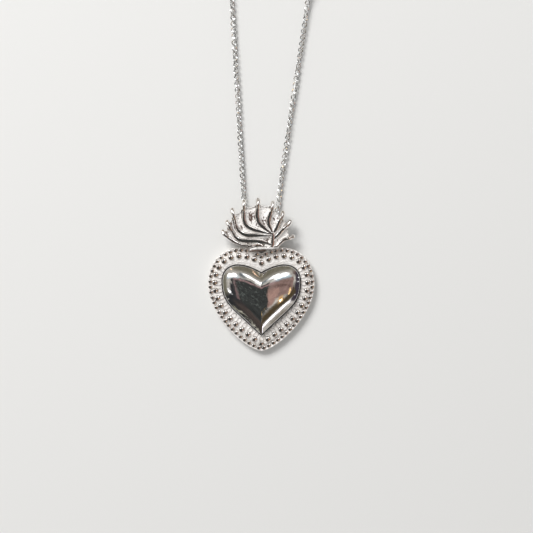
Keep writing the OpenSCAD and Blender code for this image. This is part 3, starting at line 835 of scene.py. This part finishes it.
chain = {
    "link": 1.0, "wire": 0.21, "play": 0.04, "rightLinks": 74, "around": 12, "sides": 5,
    "coilAt": (1.9, 64.5), "coilTurns": 4.25, "coilR": (7.6, 3.35), "layers": (0.5, 1.43),
}
leftRoute = [(0, 14.1, 0.91), (-0.5, 14.1, 0.91), (-0.95, 14.1, 0.9), (-1.95, 14.4, 0.86),
             (-2.65, 15.1, 0.72), (-2.92, 16.1, 0.57), (-3.02, 18, 0.44), (-3.3, 22.5, 0.42),
             (-3.65, 28, 0.42), (-4.05, 35, 0.42), (-4.5, 42, 0.42), (-4.95, 50, 0.42),
             (-5.4, 57.5, 0.42), (-5.7, 64.5, 0.5)]
rightRoute = [(0, 14.1, 0.91), (0.5, 14.1, 0.91), (0.95, 14.1, 0.9), (1.95, 14.4, 0.86),
              (2.62, 15.1, 0.72), (2.9, 16.1, 0.57), (3.1, 18, 0.44), (3.68, 22.5, 0.42),
              (4.5, 28, 0.42), (5.55, 35, 0.42), (6.6, 42, 0.42), (7.65, 49, 0.55), (8.05, 51.67, 0.78),
              (8.4, 54, 0.8), (8.75, 56.33, 0.78), (9.15, 59, 0.6), (9.4, 61.5, 0.8), (9.5, 64.5, 1.2)]
clasp = {"hookWire": 0.5, "hookR": 0.85, "ringWire": 0.25, "ringR": 0.66, "play": 0.04,
         "ringSteps": 48, "ringSides": 14}

linkR = (chain["link"] - chain["wire"]) / 2
linkPitch = chain["link"] - 2 * chain["wire"] - chain["play"]
slack = clasp["ringR"] - (clasp["ringWire"] + clasp["hookWire"]) / 2 - clasp["play"]
ringZ = clasp["ringR"] + clasp["ringWire"] / 2
hookZ = ringZ - 0.5 * slack
ringReach = 2 * clasp["hookR"] + 0.8 * slack
linkReach = ringReach + clasp["ringR"] + linkR - (chain["wire"] + clasp["ringWire"]) / 2 - clasp["play"]

rightLine = smoothLine(rightRoute, 6)
leftLine = smoothLine(leftRoute, 6)
hookS = chain["rightLinks"] * linkPitch + linkReach
hookAt = pointsAt(rightLine, [hookS])[0]
hookAhead = pointsAt(rightLine, [hookS + 0.1])[0] - pointsAt(rightLine, [hookS - 0.1])[0]
hookTurn = math.atan2(hookAhead[1], hookAhead[0]) - math.pi / 2


# In along the lower layer and out along the upper one, clockwise, from the left side to the right
def coilLine():
    cx, cy = chain["coilAt"]
    far, near = chain["coilR"]
    low, high = chain["layers"]
    turns = chain["coilTurns"]
    points = []
    for k in np.linspace(0, 1, int(turns * 48) + 1)[1:]:
        a = math.pi - 2 * math.pi * turns * k
        r = far + (near - far) * k
        rise = max(0, (k - 0.94) / 0.06)
        points.append((cx + r * math.cos(a), cy + r * math.sin(a), low + (high - low) * 0.5 * rise ** 2))
    start = math.pi - 2 * math.pi * turns
    for k in np.linspace(0, 1, int(turns * 48) + 1)[1:]:
        a = start - 2 * math.pi * turns * k
        r = near + (far - near) * k
        rise = max(0, 1 - k / 0.06)
        points.append((cx + r * math.cos(a), cy + r * math.sin(a), high - (high - low) * 0.5 * rise ** 2))
    return np.array(points)


coil = coilLine()
rightBack = rightLine[::-1]
whole = lengthsOf(rightBack)[-1]
upperEnd = whole - hookS - linkReach
upper = pointsAt(rightBack, np.append(np.arange(0.3, upperEnd, 0.3), upperEnd))
longPath = np.vstack([leftLine, coil, upper])
shortPath = pointsAt(rightLine, np.append(np.arange(linkPitch, hookS - linkReach, 0.3), hookS - linkReach))


# Round links along a path, each square to the last, rolling slowly and lying on the surface
def linkTree():
    tree = newTree("links", [("Count", "Int", 10), ("Ring radius", "Float", 0.4), ("Wire", "Float", 0.2),
                             ("Around", "Int", 12), ("Sides", "Int", 5), ("Material", "Material", None)])
    given = addNode(tree, "NodeGroupInput").outputs
    curve = addNode(tree, "GeometryNodeMeshToCurve")
    plug(tree, given["Geometry"], curve.inputs["Mesh"])
    spots = addNode(tree, "GeometryNodeCurveToPoints", mode="COUNT")
    plug(tree, curve.outputs[0], spots.inputs["Curve"])
    plug(tree, given["Count"], spots.inputs["Count"])
    index = addNode(tree, "GeometryNodeInputIndex").outputs[0]
    fromEnd = sums(tree, "SUBTRACT", sums(tree, "SUBTRACT", given["Count"], 1), index)
    square = sums(tree, "MULTIPLY", sums(tree, "MODULO", fromEnd, 2.0), math.radians(90))
    free = sums(tree, "MINIMUM", sums(tree, "DIVIDE", fromEnd, 10.0), 1.0)
    slow = sums(tree, "MULTIPLY", sums(tree, "SINE", sums(tree, "MULTIPLY", fromEnd, math.radians(9))),
                math.radians(32))
    quick = sums(tree, "MULTIPLY", sums(tree, "SINE", sums(tree, "MULTIPLY", fromEnd, math.radians(23))),
                 math.radians(10))
    lean = sums(tree, "ADD", sums(tree, "ADD", slow, quick), math.radians(45))
    roll = sums(tree, "MULTIPLY_ADD", lean, free, square)
    steep = sums(tree, "MAXIMUM", sums(tree, "ABSOLUTE", sums(tree, "SINE", roll)),
                 sums(tree, "ABSOLUTE", sums(tree, "COSINE", roll)))
    lying = sums(tree, "MULTIPLY_ADD", steep, given["Ring radius"],
                 sums(tree, "MULTIPLY", given["Wire"], 0.5))
    place = addNode(tree, "ShaderNodeSeparateXYZ")
    plug(tree, addNode(tree, "GeometryNodeInputPosition").outputs[0], place.inputs[0])
    seat = addNode(tree, "ShaderNodeCombineXYZ")
    plug(tree, place.outputs["X"], seat.inputs["X"])
    plug(tree, place.outputs["Y"], seat.inputs["Y"])
    plug(tree, sums(tree, "MAXIMUM", place.outputs["Z"], lying), seat.inputs["Z"])
    lay = addNode(tree, "GeometryNodeSetPosition")
    plug(tree, spots.outputs["Points"], lay.inputs["Geometry"])
    plug(tree, seat.outputs[0], lay.inputs["Position"])
    ahead = addNode(tree, "FunctionNodeAlignRotationToVector", axis="X")
    plug(tree, spots.outputs["Tangent"], ahead.inputs["Vector"])
    level = addNode(tree, "FunctionNodeAlignRotationToVector", axis="Z", pivot_axis="X")
    plug(tree, ahead.outputs[0], level.inputs["Rotation"])
    level.inputs["Vector"].default_value = (0, 0, 1)
    tilt = addNode(tree, "FunctionNodeAxisAngleToRotation")
    tilt.inputs["Axis"].default_value = (1, 0, 0)
    plug(tree, roll, tilt.inputs["Angle"])
    rolled = addNode(tree, "FunctionNodeRotateRotation", rotation_space="LOCAL")
    plug(tree, level.outputs[0], rolled.inputs["Rotation"])
    plug(tree, tilt.outputs[0], rolled.inputs["Rotate By"])
    link = wireRing(tree, given["Around"], given["Ring radius"], given["Sides"], given["Wire"])
    put = addNode(tree, "GeometryNodeInstanceOnPoints")
    plug(tree, lay.outputs[0], put.inputs["Points"])
    plug(tree, link, put.inputs["Instance"])
    plug(tree, rolled.outputs[0], put.inputs["Rotation"])
    endTree(tree, put.outputs[0], given["Material"], False)
    return tree


def pathObject(name, line):
    mesh = bpy.data.meshes.new(name)
    mesh.from_pydata([tuple(map(float, p)) for p in line], [(i, i + 1) for i in range(len(line) - 1)], [])
    return addObject(name, mesh)


def makeChain():
    tree = linkTree()
    longCount = round(lengthsOf(longPath)[-1] / linkPitch)
    longCount += longCount % 2
    pieces = []
    strands = (("longStrand", longPath, longCount), ("shortStrand", shortPath, chain["rightLinks"]))
    for name, path, count in strands:
        obj = pathObject(name, path)
        values = {"Count": count, "Ring radius": linkR, "Wire": chain["wire"], "Around": chain["around"],
                  "Sides": chain["sides"], "Material": chainSilver}
        runTree(obj, tree, **values)
        pieces.append(obj)
    return joinAll("chain", pieces)


chainPiece = dress(makeChain(), "chain_silver", "chain_left", "chain_right", "chain_coil")


# Clasp: a plain S-shaped hook between two end rings

def atClasp(points):
    c, s = math.cos(hookTurn), math.sin(hookTurn)
    points = np.array(points, float)
    x, y = points[:, 0] * c - points[:, 1] * s, points[:, 0] * s + points[:, 1] * c
    return np.column_stack([hookAt[0] + x, hookAt[1] + y, points[:, 2]])


def makeHook():
    r = clasp["hookR"]
    line = []
    for side, turns in ((-1, np.linspace(360, 90, 49)), (1, np.linspace(-90, 180, 49)[1:])):
        line += [(r * math.cos(a), side * r + r * math.sin(a), hookZ) for a in np.radians(turns)]
    line = atClasp(line)
    place = lengthsOf(line)
    wire = clasp["hookWire"] / 2
    ends = np.minimum(place, place[-1] - place)
    radii = wire * np.sqrt(np.clip(1 - np.clip(1 - ends / wire, 0, 1) ** 2, 0.02, 1))
    return sweep("claspHook", line, radii, 20)


def makeEndRing(name, side):
    steps, sides = clasp["ringSteps"], clasp["ringSides"]
    turn = 2 * math.pi * np.arange(steps) / steps
    line = atClasp([(0, side * ringReach + clasp["ringR"] * math.cos(a),
                     ringZ + clasp["ringR"] * math.sin(a)) for a in turn])
    centre = line.mean(axis=0)
    out = (line - centre) / clasp["ringR"]
    aside = np.array([math.cos(hookTurn), math.sin(hookTurn), 0])
    around = 2 * math.pi * np.arange(sides) / sides
    wire = clasp["ringWire"] / 2
    points = (line[:, None] + wire * (np.cos(around)[None, :, None] * out[:, None]
              + np.sin(around)[None, :, None] * aside)).reshape(-1, 3)
    return solidFrom(name, points, ringFaces(steps, sides, loop=True))


claspHook = dress(paint(makeHook(), chainSilver), "chain_silver", "clasp_hook")
endRingLeft = dress(paint(makeEndRing("endRingLeft", 1), chainSilver), "chain_silver", "end_ring_left")
endRingRight = dress(paint(makeEndRing("endRingRight", -1), chainSilver), "chain_silver", "end_ring_right")

# Floor, lamp and surroundings

studio = {"floor": (0.70, 0.695, 0.68), "lamp": 6.45, "lampAt": (-0.34, 0.48, 0.51), "lampSize": 0.40,
          "plain": 0.485, "beyond": (0.85, 0.85, 0.85)}


def makeFloor():
    mesh = bpy.data.meshes.new("floor")
    corners = [(-3, -3), (3, -3), (3, 3), (-3, 3)]
    mesh.from_pydata([(x, y, -0.01 * mm) for x, y in corners], [], [(0, 1, 2, 3)])
    material = bpy.data.materials.new("pale floor")
    material.use_nodes = True
    shader = material.node_tree.nodes["Principled BSDF"]
    shader.inputs["Base Color"].default_value = (*studio["floor"], 1)
    shader.inputs["Roughness"].default_value = 0.6
    shader.inputs["Specular IOR Level"].default_value = 0.2
    mesh.materials.append(material)
    obj = addObject("floor", mesh)


makeFloor()
lampData = bpy.data.lights.new("softLamp", "AREA")
lampData.shape = "DISK"
lampData.size = studio["lampSize"]
lampData.energy = studio["lamp"]
lamp = bpy.data.objects.new("softLamp", lampData)
lamp.location = studio["lampAt"]
lamp.rotation_euler = (Vector((0, 0.005, 0)) - Vector(studio["lampAt"])).to_track_quat("-Z", "Y").to_euler()
lamp.visible_glossy = False
bpy.context.scene.collection.objects.link(lamp)

# What the metal mirrors, on a flat map of the sky: its middle is straight up and a distance of 1 is
# the horizon. Each card is centre x and y, half its width and height, turn, softness and colour.
surround = {
    "fleck": {"at": (-0.17, 0.0), "half": (0.24, 0.22), "soft": 0.06, "scale": 34.0,
              "spread": (0.56, 0.68), "colour": (0.125, 0.14, 0.13)},
    "open": (0.50, 0.47, 0.43), "waver": 0.024, "waverSize": 5.0,
    "streak": 0.35, "streakScale": 16.0, "streakCurl": 1.2,
    "cards": [
        (0.0, 0.92, 0.70, 0.34, 0, 0.18, (0.165, 0.15, 0.115)),
        (0.0, 1.06, 0.90, 0.14, 0, 0.08, (0.13, 0.115, 0.08)),
        (-0.62, 0.62, 0.22, 0.16, 20, 0.14, (0.46, 0.42, 0.38)),
        (-0.72, 0.72, 0.42, 0.09, 45, 0.06, (0.12, 0.105, 0.08)),
        (0.72, 0.74, 0.42, 0.09, -45, 0.06, (0.11, 0.09, 0.075)),
        (-0.94, 0.05, 0.24, 0.42, 0, 0.10, (0.17, 0.16, 0.12)),
        (0.72, 0.42, 0.24, 0.14, -15, 0.12, (0.14, 0.10, 0.09)),
        (0.87, 0.06, 0.21, 0.50, 0, 0.06, (0.05, 0.042, 0.055)),
        (-0.68, -0.55, 0.60, 0.34, 35, 0.10, (0.03, 0.03, 0.032)),
        (-0.10, -0.66, 0.46, 0.34, 0, 0.14, (0.07, 0.055, 0.05)),
        (0.70, -0.68, 0.46, 0.08, 45, 0.06, (0.24, 0.21, 0.18)),
        (0.36, -0.33, 0.42, 0.12, 40, 0.05, (0.075, 0.055, 0.032)),
        (0.29, 0.07, 0.25, 0.17, 0, 0.03, (0.25, 0.165, 0.145)),
        (0.14, -0.08, 0.095, 0.16, 0, 0.025, (0.36, 0.225, 0.19)),
        (-0.138, -0.069, 0.25, 0.32, 16, 0.02, (0.040, 0.042, 0.041)),
        (0.34, 0.04, 0.20, 0.015, -24, 0.03, (0.13, 0.08, 0.07)),
        (-0.37, 0.0, 0.02, 0.22, -5, 0.03, (0.25, 0.16, 0.16)),
        (-0.46, -0.10, 0.06, 0.16, 0, 0.05, (0.035, 0.035, 0.038)),
        (-0.10, 0.215, 0.26, 0.018, 6, 0.025, (0.40, 0.25, 0.25)),
        (-0.12, 0.40, 0.06, 0.10, -30, 0.06, (0.10, 0.12, 0.13)),
        (-0.43, 0.25, 0.22, 0.05, 12, 0.05, (0.42, 0.50, 0.54)),
        (0.26, 0.27, 0.16, 0.05, 0, 0.05, (0.42, 0.52, 0.58)),
        (-0.43, 0.31, 0.15, 0.045, 12, 0.075, (6.0, 6.1, 6.2)),
        (0.19, 0.37, 0.10, 0.04, 0, 0.08, (6.0, 6.2, 6.4)),
        (0.0, 0.45, 0.07, 0.03, 0, 0.06, (3.5, 3.55, 3.6)),
        (-0.62, -0.11, 0.08, 0.02, 10, 0.04, (3.5, 3.5, 3.6)),
        (0.33, -0.20, 0.014, 0.05, 20, 0.025, (3.6, 2.3, 0.95)),
        (0.33, -0.18, 0.03, 0.09, 20, 0.03, (0.55, 0.32, 0.13)),
        (0.335, -0.21, 0.010, 0.035, 20, 0.02, (6.0, 4.9, 3.0)),
        (0.46, -0.08, 0.018, 0.05, 10, 0.03, (1.9, 1.3, 0.6)),
        (0.10, -0.27, 0.02, 0.02, 0, 0.025, (1.8, 1.2, 0.5)),
        (0.49, -0.53, 0.20, 0.045, 43, 0.045, (2.3, 2.2, 2.4)),
        (0.84, 0.22, 0.04, 0.02, 0, 0.03, (4.0, 4.0, 4.0)),
        (0.80, 0.02, 0.015, 0.012, 0, 0.02, (2.5, 2.5, 2.5)),
        (0.74, -0.22, 0.02, 0.01, 0, 0.02, (1.8, 1.7, 1.6)),
        (-0.78, -0.38, 0.02, 0.01, 0, 0.02, (1.3, 1.25, 1.1)),
        (-0.60, -0.66, 0.02, 0.01, 0, 0.02, (1.0, 0.95, 0.8)),
        (-0.70, -0.62, 0.10, 0.012, -42, 0.02, (0.5, 0.47, 0.35)),
        (0.12, -0.86, 0.05, 0.03, 0, 0.03, (5.0, 4.8, 4.6)),
        (-0.20, 0.88, 0.05, 0.025, 0, 0.03, (1.2, 1.0, 0.7)),
        (-0.44, 0.65, 0.03, 0.015, 20, 0.02, (2.2, 1.7, 1.2)),
        (0.29, 0.80, 0.04, 0.012, -30, 0.02, (2.0, 1.3, 0.9)),
        (0.44, 0.84, 0.02, 0.02, 0, 0.02, (2.6, 2.2, 1.3)),
    ],
}


def makeWorld():
    world = bpy.data.worlds.new("studio")
    world.use_nodes = True
    bpy.context.scene.world = world
    tree = world.node_tree
    tree.nodes.clear()
    ray = addNode(tree, "ShaderNodeSeparateXYZ")
    plug(tree, addNode(tree, "ShaderNodeTexCoord").outputs["Generated"], ray.inputs[0])
    depth = sums(tree, "MAXIMUM", sums(tree, "ADD", ray.outputs["Z"], 1.0), 0.05)
    flat = addNode(tree, "ShaderNodeCombineXYZ")
    plug(tree, sums(tree, "DIVIDE", ray.outputs["X"], depth), flat.inputs["X"])
    plug(tree, sums(tree, "DIVIDE", ray.outputs["Y"], depth), flat.inputs["Y"])

    def fade(value, half, soft):
        return remap(tree, sums(tree, "ABSOLUTE", value), 0.0, 1.0, half + soft, half - soft, smooth=True)

    def specks(scale, detail, distortion):
        node = addNode(tree, "ShaderNodeTexNoise")
        node.inputs["Scale"].default_value = scale
        node.inputs["Detail"].default_value = detail
        node.inputs["Distortion"].default_value = distortion
        plug(tree, flat.outputs[0], node.inputs["Vector"])
        return node.outputs

    waver = addNode(tree, "ShaderNodeVectorMath", operation="MULTIPLY_ADD")
    plug(tree, specks(surround["waverSize"], 3, 0)["Color"], waver.inputs[0])
    waver.inputs[1].default_value = [2 * surround["waver"]] * 3
    waver.inputs[2].default_value = [-surround["waver"]] * 3
    wavy = addNode(tree, "ShaderNodeVectorMath", operation="ADD")
    plug(tree, flat.outputs[0], wavy.inputs[0])
    plug(tree, waver.outputs[0], wavy.inputs[1])
    seen = surround["open"]
    for x, y, halfX, halfY, turn, soft, tint in surround["cards"]:
        card = addNode(tree, "ShaderNodeMapping", vector_type="TEXTURE")
        plug(tree, wavy.outputs[0], card.inputs["Vector"])
        card.inputs["Location"].default_value = (x, y, 0)
        card.inputs["Rotation"].default_value = (0, 0, math.radians(turn))
        side = addNode(tree, "ShaderNodeSeparateXYZ")
        plug(tree, card.outputs[0], side.inputs[0])
        inside = [fade(side.outputs[axis], half, soft) for axis, half in (("X", halfX), ("Y", halfY))]
        seen = blend(tree, sums(tree, "MULTIPLY", *inside), seen, tint)
    fleck = surround["fleck"]
    fromSpot = addNode(tree, "ShaderNodeSeparateXYZ")
    plug(tree, flat.outputs[0], fromSpot.inputs[0])
    near = remap(tree, specks(fleck["scale"], 1, 0)["Fac"], 0.0, 1.0, *fleck["spread"], smooth=True)
    for axis, at, half in zip("XY", fleck["at"], fleck["half"]):
        aside = sums(tree, "SUBTRACT", fromSpot.outputs[axis], at)
        near = sums(tree, "MULTIPLY", near, fade(aside, half, fleck["soft"]))
    seen = blend(tree, near, seen, fleck["colour"])
    grain = specks(surround["streakScale"], 4, surround["streakCurl"])["Fac"]
    streaks = addNode(tree, "ShaderNodeVectorMath", operation="SCALE")
    plug(tree, seen, streaks.inputs[0])
    streak = surround["streak"]
    plug(tree, sums(tree, "MULTIPLY_ADD", grain, 4 * streak, 1 - 2 * streak), streaks.inputs["Scale"])
    path = addNode(tree, "ShaderNodeLightPath")
    plain = blend(tree, path.outputs["Is Glossy Ray"], (studio["plain"],) * 3, streaks.outputs[0])
    white = blend(tree, path.outputs["Is Camera Ray"], plain, studio["beyond"])
    background = addNode(tree, "ShaderNodeBackground")
    plug(tree, white, background.inputs["Color"])
    out = addNode(tree, "ShaderNodeOutputWorld")
    plug(tree, background.outputs[0], out.inputs["Surface"])


makeWorld()
bpy.context.scene.view_settings.view_transform = "Standard"
print("studio made")
